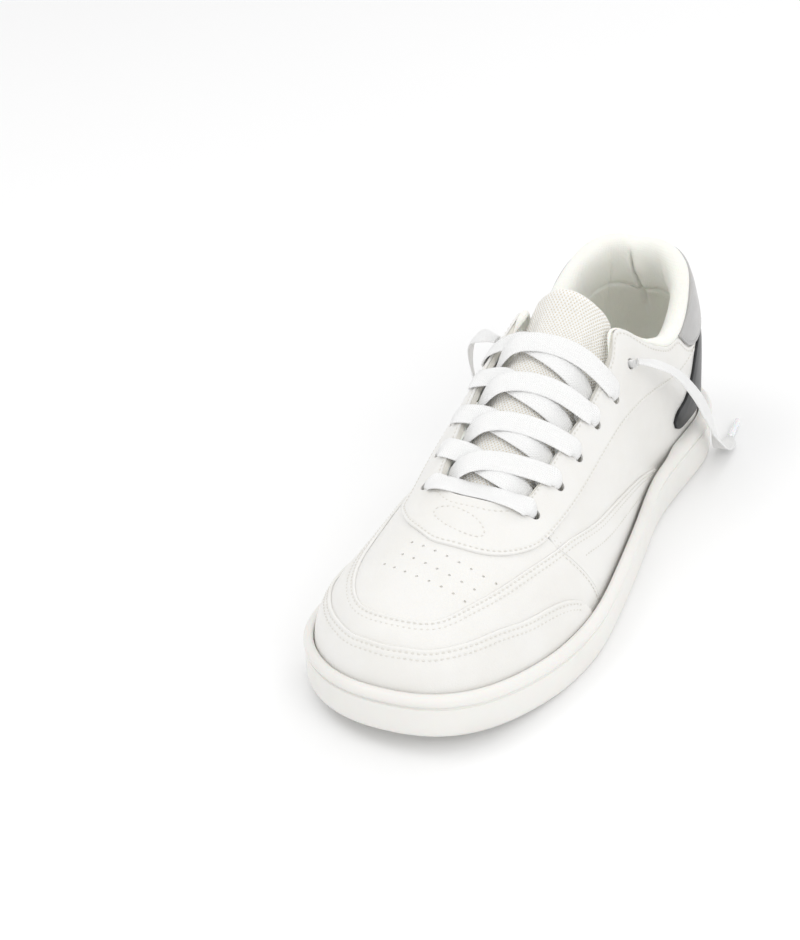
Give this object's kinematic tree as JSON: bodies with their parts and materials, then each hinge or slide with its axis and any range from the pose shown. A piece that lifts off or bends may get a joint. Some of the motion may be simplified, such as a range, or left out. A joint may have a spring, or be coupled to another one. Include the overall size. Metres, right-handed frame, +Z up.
{
  "type": "court shoe",
  "caption": "Low-cut lace-up court shoe, left foot: layered white leather upper on a cup sole, padded collar, hinged padded tongue, dark heel panel and grey heel tab.",
  "frame": {"origin": "on the floor, at the middle of the shoe's outline in X and Y, free lace ends left out", "axes": "+Z up, -Y toward the toe, +Y toward the heel, +X toward the lateral (outer) side of this left shoe"},
  "size_m": [0.1131, 0.3, 0.1187],
  "materials": {
    "white_leather": "white coated leather, fine grain, low sheen",
    "grey_leather": "light grey coated leather, low sheen",
    "dark_gloss": "dark grey glossy film, smooth",
    "white_rubber": "white moulded rubber, matt",
    "lining_mesh": "cream spacer mesh",
    "lining_smooth": "cream brushed lining",
    "lace_white": "flat woven white lace",
    "aglet_clear": "white plastic tip, semi-gloss",
    "foam": "soft open foam",
    "board": "fibre board",
    "stiffener": "thermoplastic sheet",
    "eva": "foamed insert",
    "sock": "olive-cream textile over foam"
  },
  "bodies": {
    "shoe": {"cupsole": "white_rubber", "midsole_insert": "eva", "strobel_board": "board", "sockliner": "sock", "toe_cap": "white_leather", "foxing_front": "white_leather", "foxing_lateral": "white_leather", "foxing_medial": "white_leather", "vamp": "white_leather", "quarter_lateral": "white_leather", "quarter_medial": "white_leather", "eyestay": "white_leather", "eyestay_backer_lateral": "stiffener", "eyestay_backer_medial": "stiffener", "heel_panel": "dark_gloss", "heel_tab": "grey_leather", "toe_puff": "stiffener", "heel_counter": "stiffener", "vamp_lining": "lining_smooth", "quarter_lining": "lining_smooth", "collar_foam": "foam", "lace_held": "lace_white", "lace_end_lateral": "lace_white", "lace_end_medial": "lace_white", "aglet_lateral": "aglet_clear", "aglet_medial": "aglet_clear"},
    "tongue": {"tongue_face": "lining_mesh", "tongue_foam": "foam", "tongue_lining": "lining_smooth"}
  },
  "joints": [
    {"name": "tongue_hinge", "type": "hinge", "parent": "shoe", "child": "tongue", "pos_m": [0, -0.0615, 0.0585], "axis": [-1, 0, 0], "range_deg": [0, 12], "stiffness_Nm_per_rad": 0.3, "springref_deg": -2.86}
  ]
}
